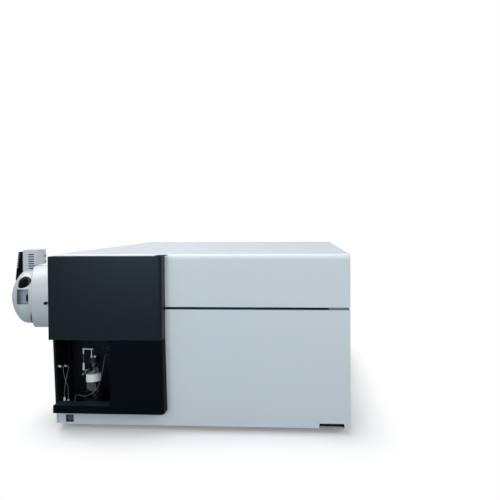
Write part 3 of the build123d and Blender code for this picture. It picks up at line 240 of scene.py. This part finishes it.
cover_white = surface("cover_white", (214, 221, 227), 0.42, grain=900, grain_depth=0.00005, mottle=0.012)
rear_grey = surface("rear_grey", (172, 180, 185), 0.55, grain=700, grain_depth=0.0001, speckle=0.03)
source_white = surface("source_white", (222, 225, 228), 0.38, **SOURCE_PAINT)
chamber_white = surface("chamber_white", (219, 223, 226), 0.38, **SOURCE_PAINT)
# Painted shade inside the spray chamber's latch pocket.
shade_pocket(chamber_white)
heater_grey = surface("heater_grey", (205, 210, 215), 0.45, grain=700, grain_depth=0.00006, mottle=0.02)
satin_black = surface("satin_black", (10, 18, 21), 0.38, specular=0.26, **SATIN_MOULDING)
bezel_black = surface("bezel_black", (3, 7, 9), 0.5, specular=0.06, **SATIN_MOULDING)
bay_black = surface("bay_black", (6, 11, 13), 0.5, specular=0.2, tint=BLACK_TINT, **COARSE_MOULDING)
matt_black = surface(
    "matt_black", (16, 21, 24), 0.6,
    grain=900, grain_depth=0.0001, mottle=0.08, speckle=0.06, specular=0.25, tint=BLACK_TINT,
)
rocker_grey = surface(
    "rocker_grey", (78, 90, 97), 0.5,
    grain=900, grain_depth=0.00006, mottle=0.05, speckle=0.04,
)
zinc = surface(
    "zinc_plate", (176, 180, 183), 0.36,
    metallic=1.0, mottle=0.10, mottle_scale=25, speckle=0.05, rough_swing=0.12,
)
brushed = surface(
    "brushed_steel", (186, 188, 190), 0.3,
    mottle=0.05, stretch=(1, 1, 14), grain=300, rough_swing=0.1, **FINE_METAL,
)
black_oxide = surface(
    "black_oxide_steel", (34, 38, 41), 0.4,
    mottle=0.08, mottle_scale=40, grain=400, rough_swing=0.08, **FINE_METAL,
)
machined = surface(
    "machined_aluminium", (198, 200, 203), 0.34,
    mottle=0.04, stretch=(14, 1, 1), grain=350, rough_swing=0.08, **FINE_METAL,
)
rubber = surface("foot_rubber", (26, 26, 27), 0.8, grain=500, grain_depth=0.0002, mottle=0.12, speckle=0.08)
polymer = surface("white_polymer", (226, 230, 232), 0.35, grain=600, mottle=0.02)
alumina = surface("alumina", (233, 228, 216), 0.5, grain=500, mottle=0.03)
board = surface("solder_mask", (28, 84, 50), 0.35, grain=250, mottle=0.12, mottle_scale=60)
reveal_dark = surface("reveal_dark", (10, 15, 18), 0.5, specular=0.2, **COARSE_MOULDING)
bay_plastic = surface(
    "bay_plastic", (20, 28, 32), 0.42,
    grain=800, grain_depth=0.00008, mottle=0.08, speckle=0.05, specular=0.35, tint=BLACK_TINT,
)
line_tube = surface(
    "line_tube", (96, 110, 120), 0.35,
    grain=600, grain_depth=0.00002, mottle=0.06, speckle=0.02, specular=0.3,
)
glass = clear_glass("bottle_glass", (240, 246, 247), 0.03, 1.47)
gauze = surface(
    "heater_gauze", (44, 52, 57), 0.7,
    grain=1400, grain_depth=0.0002, mottle=0.1, mottle_scale=60, speckle=0.2, specular=0.2,
)
smoked = surface(
    "smoked_glass", (3, 6, 8), 0.16,
    grain=60, grain_depth=0.00001, mottle=0.1, rough_swing=0.04, specular=0.12, tint=BLACK_TINT,
)
paper = surface(
    "label_paper", (243, 246, 249), 0.6,
    grain=300, grain_depth=0.00005, mottle=0.03, mottle_scale=90, speckle=0.03,
)
band_blue = surface(
    "label_band", (150, 170, 186), 0.5,
    grain=300, grain_depth=0.00004, mottle=0.04, mottle_scale=90,
)
# A grey lighter than the bay's black, for the light on the ledge in front of the bay: painted light.
ledge_light_grey = surface(
    "mat_rubber", (23, 37, 44), 0.55,
    grain=800, grain_depth=0.00006, mottle=0.06, speckle=0.04, specular=0.25,
)
# The lighter grey for the light that gets into the end of the groove between the covers: painted light.
groove_light_grey = surface(
    "infill_plastic", (104, 124, 136), 0.55,
    grain=800, grain_depth=0.00006, mottle=0.05, speckle=0.04, specular=0.3,
)
web_grey = surface(
    "guard_web", (196, 204, 209), 0.6,
    grain=900, grain_depth=0.00008, mottle=0.06, speckle=0.06, specular=0.2,
)
# Near-black for the dark lip at the dome's foot: painted shade for the shadow gap there.
seal_rubber = surface(
    "seal_rubber", (30, 33, 35), 0.7,
    grain=500, grain_depth=0.0001, mottle=0.1, speckle=0.05,
)

# The CAD nodes that wear each finish.
FINISH = {
    cover_white: "top_cover lower_front_cover left_side_cover right_side_cover",
    rear_grey: "rear_panel power_entry_panel",
    source_white: "source_housing",
    chamber_white: "spray_chamber",
    heater_grey: "heater_housing",
    satin_black: "front_door",
    bezel_black: "lower_bezel ribbed_guard",
    bay_black: "bay_liner front_bulkhead front_slot_grille selector_valve",
    reveal_dark: "reveal_strip",
    rocker_grey: "power_rocker",
    matt_black: "switch_bezel latch_button ac_inlet fan_frames fan_rotor_1 fan_rotor_2 "
    "bottle_holder housing_screw",
    bay_plastic: "bottle_cap",
    zinc: "base_pan chassis_frame equipment_shelf manifold_stand power_supply rf_generator",
    black_oxide: "door_hinge_pins",
    brushed: "source_hinge_pin octopole_rods quadrupole_1 quadrupole_3 ion_funnels "
    "spray_shield nebulizer gas_inlets foreline_ports gas_connectors drain_port",
    machined: "vacuum_manifold manifold_lid pump_housings turbo_rotor_1 turbo_rotor_2 collision_cell",
    rubber: "levelling_feet",
    polymer: "tube_fittings",
    line_tube: "transfer_tubing",
    alumina: "rod_holders ion_detector",
    board: "main_board",
    glass: "calibrant_bottle inlet_capillary",
    smoked: "chamber_window",
}
for finish, names in FINISH.items():
    for name in names.split():
        slots = NODES[name].data.materials
        slots.clear()
        slots.append(finish)

# ------------------------------------------------- shapes for the added pieces
def new_object(name, data):
    """An object in the scene that holds a mesh, a light or a camera."""
    obj = bpy.data.objects.new(name, data)
    bpy.context.scene.collection.objects.link(obj)
    return obj


SHARP_ANGLE = math.radians(32)
BOX_FACES = [(0, 1, 3, 2), (4, 6, 7, 5), (0, 4, 5, 1), (2, 3, 7, 6), (0, 2, 6, 4), (1, 5, 7, 3)]


def solid(name, verts, faces, material, body, slot_name, smooth=True):
    """A mesh piece that rides on a body and wears the finish given; its slot name is not used."""
    mesh = bpy.data.meshes.new(name)
    mesh.from_pydata(verts, [], faces)
    bm = bmesh.new()
    bm.from_mesh(mesh)
    bmesh.ops.recalc_face_normals(bm, faces=bm.faces)
    bm.to_mesh(mesh)
    bm.free()
    if smooth:
        mesh.shade_smooth()
        mesh.set_sharp_from_angle(angle=SHARP_ANGLE)
    mesh.materials.append(material)
    obj = new_object(name, mesh)
    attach(obj, body)


def join(*parts):
    """Vertices and faces of several parts as one piece."""
    verts, faces = [], []
    for part_verts, part_faces in parts:
        start = len(verts)
        verts += part_verts
        faces += [tuple(start + i for i in face) for face in part_faces]
    return verts, faces


def bars(boxes):
    """Vertices and faces of plain bars; each bar is its lowest and highest x, y and z."""
    parts = []
    for xs, ys, zs in boxes:
        parts.append(([(x, y, z) for x in xs for y in ys for z in zs], BOX_FACES))
    return join(*parts)


def curved_sheet(centre, inner, outer, start, stop, low, high):
    """A thin upright sheet that follows part of a cylinder."""
    steps = 36
    verts = []
    for i in range(steps + 1):
        turn = math.radians(start + (stop - start) * i / steps)
        for radius in (inner, outer):
            x, y = centre[0] + radius * math.cos(turn), centre[1] + radius * math.sin(turn)
            verts += [(x, y, low), (x, y, high)]
    faces = [(0, 1, 3, 2), (4 * steps, 4 * steps + 2, 4 * steps + 3, 4 * steps + 1)]
    for i in range(steps):
        a, b = 4 * i, 4 * i + 4
        faces += [(a, b, b + 1, a + 1), (a + 2, a + 3, b + 3, b + 2)]
        faces += [(a + 1, b + 1, b + 3, a + 3), (a, a + 2, b + 2, b)]
    return verts, faces


def turned(profile, centre, axis, sides):
    """A closed turned form: (radius, height) pairs round an axis."""
    upright_to_axis = Vector(axis).to_track_quat("Z", "Y").to_matrix()
    verts, faces = [], []
    for radius, height in profile:
        for k in range(sides):
            turn = 2 * math.pi * k / sides
            local = Vector((radius * math.cos(turn), radius * math.sin(turn), height))
            verts.append(tuple(Vector(centre) + upright_to_axis @ local))
    rows = len(profile)
    for r in range(rows - 1):
        for k in range(sides):
            n = (k + 1) % sides
            faces.append((r * sides + k, r * sides + n, (r + 1) * sides + n, (r + 1) * sides + k))
    faces.append(tuple(reversed(range(sides))))
    faces.append(tuple(range((rows - 1) * sides, rows * sides)))
    return verts, faces


def pan_head(centre, axis, radius, height):
    """A pan-head screw with a round recess, its head let into the panel a little."""
    sunk = -0.0004
    recess = height * 0.35
    profile = [
        (radius, sunk),
        (radius, height * 0.45),
        (radius * 0.86, height * 0.85),
        (radius * 0.6, height),
        (radius * 0.5, height),
        (radius * 0.48, recess),
        (0.00001, recess),
    ]
    return turned(profile, centre, axis, 18)


def flat_frame(outer_x, outer_z, width, back, front, bevel):
    """A flat rectangular frame on an upright face, with bevelled edges towards the front."""
    rings = [
        (0.0, back),
        (0.0, front + bevel),
        (bevel, front),
        (width - bevel, front),
        (width, front + bevel),
        (width, back),
    ]
    verts = []
    for inset, y in rings:
        x0, x1 = outer_x[0] + inset, outer_x[1] - inset
        z0, z1 = outer_z[0] + inset, outer_z[1] - inset
        verts += [(x0, y, z0), (x1, y, z0), (x1, y, z1), (x0, y, z1)]
    faces = []
    for r in range(len(rings)):
        a, b = 4 * r, 4 * ((r + 1) % len(rings))
        faces += [(a + k, a + (k + 1) % 4, b + (k + 1) % 4, b + k) for k in range(4)]
    return verts, faces


def shade_lip(start, stop, radii, foot, widest):
    """A dark lip round part of the chamber's foot, tapered to both ends, that stands for the shadow in the
    gap between dome and drum: painted shade; angles are from straight up.
    """
    steps = 40
    end_height = 0.0004
    fullness = 0.8  # below 1, the lip widens sooner from its ends
    outer_drop = 0.0003
    level, out, origin = Vector(RIM_LEVEL), Vector(RIM_OUT), Vector(RIM_ORIGIN)
    inner, outer = radii
    verts, faces = [], []
    for i in range(steps + 1):
        turn = math.radians(start + (stop - start) * i / steps)
        reach = foot + end_height + widest * math.sin(math.pi * i / steps) ** fullness
        spoke = Vector((0, 0, math.cos(turn))) - level * math.sin(turn)
        section = ((inner, foot), (outer, foot), (outer, reach - outer_drop), (inner, reach))
        verts += [tuple(origin + spoke * radius + out * rise) for radius, rise in section]
    for i in range(steps):
        a, b = 4 * i, 4 * i + 4
        faces += [(a + k, a + (k + 1) % 4, b + (k + 1) % 4, b + k) for k in range(4)]
    faces += [(0, 1, 2, 3), tuple(4 * steps + k for k in (3, 2, 1, 0))]
    return verts, faces


# ------------------------------------------------- pieces beyond the CAD frame
# The bottle's plain label, just clear of the glass, and the band above it.
BOTTLE_AXIS = (-0.190, -0.340)
BOTTLE_R = 0.024
LABEL_INNER = BOTTLE_R + 0.00005
LABEL_OUTER = BOTTLE_R + 0.00022
LABEL_ARC = (-118, -18)
LABEL_Z = (0.1212, 0.1408)
BAND_Z = (0.1408, 0.1438)
label = curved_sheet(BOTTLE_AXIS, LABEL_INNER, LABEL_OUTER, *LABEL_ARC, *LABEL_Z)
solid("bottle_label", *label, paper, CABINET, "white_polymer")
band = curved_sheet(BOTTLE_AXIS, LABEL_INNER, LABEL_OUTER, *LABEL_ARC, *BAND_Z)
solid("label_band", *band, band_blue, CABINET, "white_polymer")

# Gauze strips behind the louvres of the heater housing, a little higher than the openings.
LOUVRES = 7
LOUVRE_TOP = 0.452
LOUVRE_PITCH = 0.0068
LOUVRE_HIGH = 0.0034
GAUZE_LAP = 0.0001
GAUZE_X = (-0.4332, -0.4148)
GAUZE_Y = (-0.2356, -0.2346)
strips = []
for row in range(LOUVRES):
    foot = LOUVRE_TOP - LOUVRE_PITCH * row
    strips.append((GAUZE_X, GAUZE_Y, (foot - GAUZE_LAP, foot + LOUVRE_HIGH + GAUZE_LAP)))
solid("heater_gauze", *bars(strips), gauze, CHAMBER, "dark_plastic", smooth=False)

# Painted shade: a dark frame round the slot near the cabinet's right front foot, which makes the slot's
# shaded opening look taller.
SLOT_SHADE_X = (0.4188, 0.4822)
SLOT_SHADE_Z = (0.0180, 0.0290)
SLOT_SHADE_Y = (-0.3818, -0.3828)  # back and front
SLOT_SHADE_WIDTH = 0.0014
SLOT_SHADE_BEVEL = 0.0003
slot_trim = flat_frame(SLOT_SHADE_X, SLOT_SHADE_Z, SLOT_SHADE_WIDTH, *SLOT_SHADE_Y, SLOT_SHADE_BEVEL)
solid("slot_trim", *slot_trim, matt_black, CABINET, "black_plastic", smooth=False)

# Painted light: a lighter ribbed sheet on the ledge in front of the bay, for the light that falls on the
# ledge's top.
MAT_X = (-0.2615, -0.1150)
MAT_Y = (-0.4130, -0.3835)
MAT_Z = 0.0780
MAT_SUNK = 0.0002
MAT_THICK = 0.0006
MAT_RIBS = 9
MAT_RIB_INSET = 0.002
MAT_RIB_HIGH = 0.0003
MAT_RIB_X = (MAT_X[0] + MAT_RIB_INSET, MAT_X[1] - MAT_RIB_INSET)
MAT_RIB_Z = (MAT_Z, MAT_Z + MAT_THICK + MAT_RIB_HIGH)
MAT_RIB_WIDE = 0.0012
MAT_RIB_PITCH = 0.003
MAT_MARGIN = 0.0022
ledge_light_bars = [(MAT_X, MAT_Y, (MAT_Z - MAT_SUNK, MAT_Z + MAT_THICK))]
for row in range(MAT_RIBS):
    rib_y = MAT_Y[0] + MAT_MARGIN + MAT_RIB_PITCH * row
    ledge_light_bars.append((MAT_RIB_X, (rib_y, rib_y + MAT_RIB_WIDE), MAT_RIB_Z))
solid("ledge_mat", *bars(ledge_light_bars), ledge_light_grey, CABINET, "dark_plastic", smooth=False)

# The web that closes the ribbed guard's notches, parallel to its leaning outer edge.
GUARD_TOP_X = -0.4885
GUARD_TOP_Z = 0.459
GUARD_LEAN = 0.117  # sideways for each metre of height
WEB_Z = (0.4072, 0.4552)
WEB_Y = (-0.1958, -0.1946)
WEB_DEEP = 0.0056
WEB_INSET = 0.0002
web_verts = []
for web_z in WEB_Z:
    edge_x = GUARD_TOP_X - GUARD_LEAN * (GUARD_TOP_Z - web_z) + WEB_INSET
    web_verts += [(x, y, web_z) for x in (edge_x, edge_x + WEB_DEEP) for y in WEB_Y]
solid("guard_web", web_verts, BOX_FACES, web_grey, CHAMBER, "dark_plastic", smooth=False)

# Painted light: the groove between the covers is lighter near the cabinet's right front corner, where light
# gets into it, drawn as a lighter ribbed strip in the groove.
GROOVE_LIGHT_STRIP = ((0.4440, 0.4950), (-0.3800, -0.3788), (0.3202, 0.3268))
GROOVE_LIGHT_RIBS = 6
GROOVE_LIGHT_RIB_X = (0.4440, 0.4448)  # the first rib
GROOVE_LIGHT_RIB_Y = (-0.3804, -0.3799)
GROOVE_LIGHT_RIB_Z = (0.3204, 0.3266)
GROOVE_LIGHT_RIB_PITCH = 0.0085
groove_light_bars = [GROOVE_LIGHT_STRIP]
for row in range(GROOVE_LIGHT_RIBS):
    rib_x = tuple(x + GROOVE_LIGHT_RIB_PITCH * row for x in GROOVE_LIGHT_RIB_X)
    groove_light_bars.append((rib_x, GROOVE_LIGHT_RIB_Y, GROOVE_LIGHT_RIB_Z))
solid("reveal_infill", *bars(groove_light_bars), groove_light_grey, CABINET, "dark_plastic", smooth=False)

# Painted shade: a dark lip at the foot of the dome, where the gap between dome and drum lies in shadow.
SHADE_LIP_ARC = (110, 176)
SHADE_LIP_RADII = (0.0796, 0.0809)
SHADE_LIP_FOOT = 0.0003
SHADE_LIP_WIDEST = 0.0062
foot_seal = shade_lip(*SHADE_LIP_ARC, SHADE_LIP_RADII, SHADE_LIP_FOOT, SHADE_LIP_WIDEST)
solid("foot_seal", *foot_seal, seal_rubber, CHAMBER, "rubber_black")

# Screws in the rear panel, round both fans and beside the mains inlet.
REAR_Y = 0.394
PANEL_HEAD = (0.0038, 0.0024)  # radius and height
FAN_HEAD = (0.0034, 0.002)
INLET_HEAD = (0.003, 0.0016)
PANEL_ROW_X = (-0.255, -0.06, 0.12, 0.285, 0.315, 0.482)
PANEL_ROW_Z = (0.030, 0.428)
PANEL_SIDE_X = (-0.259, 0.486)
PANEL_SIDE_Z = (0.15, 0.23, 0.29)
FAN_X = (-0.150, 0.0)
FAN_Z = 0.120
FAN_HOLES = (-0.0525, 0.0525)  # to either side of a fan's middle
INLET_X = 0.396
INLET_Z = 0.074
INLET_HOLES = (-0.02, 0.02)
screws = [(x, z, PANEL_HEAD) for z in PANEL_ROW_Z for x in PANEL_ROW_X]
screws += [(x, z, PANEL_HEAD) for x in PANEL_SIDE_X for z in PANEL_SIDE_Z]
screws += [(x + dx, FAN_Z + dz, FAN_HEAD) for x in FAN_X for dx in FAN_HOLES for dz in FAN_HOLES]
screws += [(INLET_X + dx, INLET_Z, INLET_HEAD) for dx in INLET_HOLES]
heads = [pan_head((x, REAR_Y, z), (0, 1, 0), *head) for x, z, head in screws]
solid("rear_screws", *join(*heads), zinc, CABINET, "zinc_steel")

# ------------------------------------------------------ floor, light and camera
GLOSSY_SHARE = 0.3  # how much of the white surroundings shows in reflections


def seen_rays(tree):
    """One for what is seen by eye or through glass, less in a reflection, and none for bounced light."""
    path = tree.nodes.new("ShaderNodeLightPath").outputs
    reflected = scalar_math(tree, "MULTIPLY", path["Is Glossy Ray"], GLOSSY_SHARE)
    direct = scalar_math(tree, "MAXIMUM", path["Is Camera Ray"], path["Is Transmission Ray"])
    return scalar_math(tree, "MAXIMUM", direct, reflected)


def stage_material(name, seen_rgb, bounce_rgb, footprint, fade_width, glow):
    """Pale paper that bounces less light than it shows and fades to plain white away from the object."""
    mat = bpy.data.materials.new(name)
    mat.use_nodes = True
    tree = mat.node_tree
    tree.nodes.remove(tree.nodes["Principled BSDF"])

    def shader(kind, **sources):
        return add_node(tree, kind, **sources).outputs[0]

    place = tree.nodes.new("ShaderNodeTexCoord").outputs["Object"]
    past_edge = vector_math(tree, "SUBTRACT", vector_math(tree, "ABSOLUTE", place), (*footprint, 0))
    outside = vector_math(tree, "LENGTH", vector_math(tree, "MAXIMUM", past_edge, (0, 0, 0)))
    fade = smooth_ramp(tree, outside, 0.0, fade_width)

    lit = tree.nodes.new("ShaderNodeAddShader")
    tree.links.new(shader("ShaderNodeBsdfDiffuse", Color=linear(*seen_rgb)), lit.inputs[0])
    tree.links.new(shader("ShaderNodeEmission", Color=WHITE, Strength=glow), lit.inputs[1])
    white = shader("ShaderNodeEmission", Color=WHITE, Strength=1.0)
    shown = mix_shaders(tree, fade, lit.outputs[0], white)
    bounced = shader("ShaderNodeBsdfDiffuse", Color=linear(*bounce_rgb))
    surface_output = mix_shaders(tree, seen_rays(tree), bounced, shown)
    tree.links.new(surface_output, tree.nodes["Material Output"].inputs["Surface"])
    return mat


FLOOR_HALF = 12
FLOOR_Z = -0.0005  # just under the feet
FLOOR_SEEN = (246, 246, 246)
FLOOR_BOUNCE = (118, 138, 150)
FLOOR_FADE = 0.15
FLOOR_GLOW = 0.16
CABINET_HALF = (0.386, 0.397)  # half its footprint, across and deep
CABINET_X = 0.1125  # its middle
floor_mesh = bpy.data.meshes.new("floor")
floor_corners = [(-1, -1), (1, -1), (1, 1), (-1, 1)]
floor_verts = [(FLOOR_HALF * x, FLOOR_HALF * y, 0) for x, y in floor_corners]
floor_mesh.from_pydata(floor_verts, [], [(0, 1, 2, 3)])
floor = new_object("floor", floor_mesh)
floor.location = (CABINET_X, 0.0, FLOOR_Z)
floor_paper = stage_material(
    "floor_paper", FLOOR_SEEN, FLOOR_BOUNCE, CABINET_HALF, FLOOR_FADE, FLOOR_GLOW
)
floor.data.materials.append(floor_paper)


def studio_sky(sky_rgb, strength, horizon_share):
    """A dim cool sky that lights the object, dimmer towards the horizon, and is seen as plain white."""
    world = bpy.data.worlds.new("studio")
    bpy.context.scene.world = world
    world.use_nodes = True
    tree = world.node_tree
    facing = tree.nodes.new("ShaderNodeTexCoord").outputs["Generated"]
    height = add_node(tree, "ShaderNodeSeparateXYZ", Vector=facing).outputs["Z"]
    limits = {"Value": height, "To Min": horizon_share * strength, "To Max": strength}
    brightness = add_node(tree, "ShaderNodeMapRange", **limits).outputs["Result"]
    sky = tree.nodes["Background"]
    feed(tree, (*sky_rgb, 1.0), sky.inputs["Color"])
    feed(tree, brightness, sky.inputs["Strength"])
    white_sky = add_node(tree, "ShaderNodeBackground", Color=WHITE)
    shown = mix_shaders(tree, seen_rays(tree), sky.outputs[0], white_sky.outputs[0])
    tree.links.new(shown, tree.nodes["World Output"].inputs["Surface"])


SKY_RGB = (0.86, 0.94, 1.0)
SKY_STRENGTH = 0.16
HORIZON_SHARE = 0.35
studio_sky(SKY_RGB, SKY_STRENGTH, HORIZON_SHARE)


def lamp(name, location, target, size, watts, rgb):
    """A square area lamp that is aimed at a place on the object."""
    data = bpy.data.lights.new(name, "AREA")
    data.size = size
    data.energy = watts
    data.color = rgb
    obj = new_object(name, data)
    obj.location = location
    aim = Vector(target) - Vector(location)
    obj.rotation_euler = aim.to_track_quat("-Z", "Y").to_euler()


COOL = (0.96, 0.98, 1.0)
COLDER = (0.92, 0.965, 1.0)
COLDEST = (0.90, 0.96, 1.0)
NEARLY_WHITE = (1.0, 0.99, 0.975)
WARM = (1.0, 0.94, 0.84)
lamp("overhead", (-0.4, 0.3, 2.6), (-0.1, 0.0, 0.3), size=2.2, watts=50, rgb=NEARLY_WHITE)
lamp("overhead_front", (0.2, -2.2, 2.6), (0.1, -0.2, 0.25), size=1.6, watts=12, rgb=COOL)
lamp("front_left", (-1.9, -2.8, 1.4), (-0.2, -0.2, 0.3), size=1.6, watts=4, rgb=COLDER)
lamp("front_fill", (0.6, -2.6, 0.5), (0.1, -0.3, 0.2), size=1.2, watts=7, rgb=WARM)
lamp("front_right", (2.4, -2.0, 1.6), (0.1, -0.2, 0.3), size=1.6, watts=40, rgb=COOL)
lamp("left", (-1.6, 0.2, 2.0), (-0.2, 0.0, 0.4), size=1.4, watts=9, rgb=COOL)
lamp("low_front", (-0.5, -1.9, 0.62), (0.0, -0.4, 0.28), size=0.7, watts=6.5, rgb=COLDEST)

# The camera stands where the photograph was taken from: yaw, pitch and roll in radians.
YAW = -0.051
PITCH = 0.017
ROLL = -0.005
EYE = Vector((0.3662, -1.5299, 0.5407))
SENSOR_MM = 36.0
LENS_MM = 32.4
SHIFT_X = -0.0503
SHIFT_Y = -0.0368
forward = Vector((math.sin(YAW) * math.cos(PITCH), math.cos(YAW) * math.cos(PITCH), -math.sin(PITCH)))
level_right = Vector((math.cos(YAW), -math.sin(YAW), 0))
level_up = level_right.cross(forward)
right = level_right * math.cos(ROLL) + level_up * math.sin(ROLL)
up = level_up * math.cos(ROLL) - level_right * math.sin(ROLL)
camera_data = bpy.data.cameras.new("camera")
camera_data.sensor_width = SENSOR_MM
camera_data.lens = LENS_MM
camera_data.shift_x = SHIFT_X
camera_data.shift_y = SHIFT_Y
camera = new_object("camera", camera_data)
camera.matrix_world = Matrix.Translation(EYE) @ Matrix((right, up, -forward)).transposed().to_4x4()
bpy.context.scene.camera = camera
bpy.context.scene.view_settings.view_transform = "Standard"
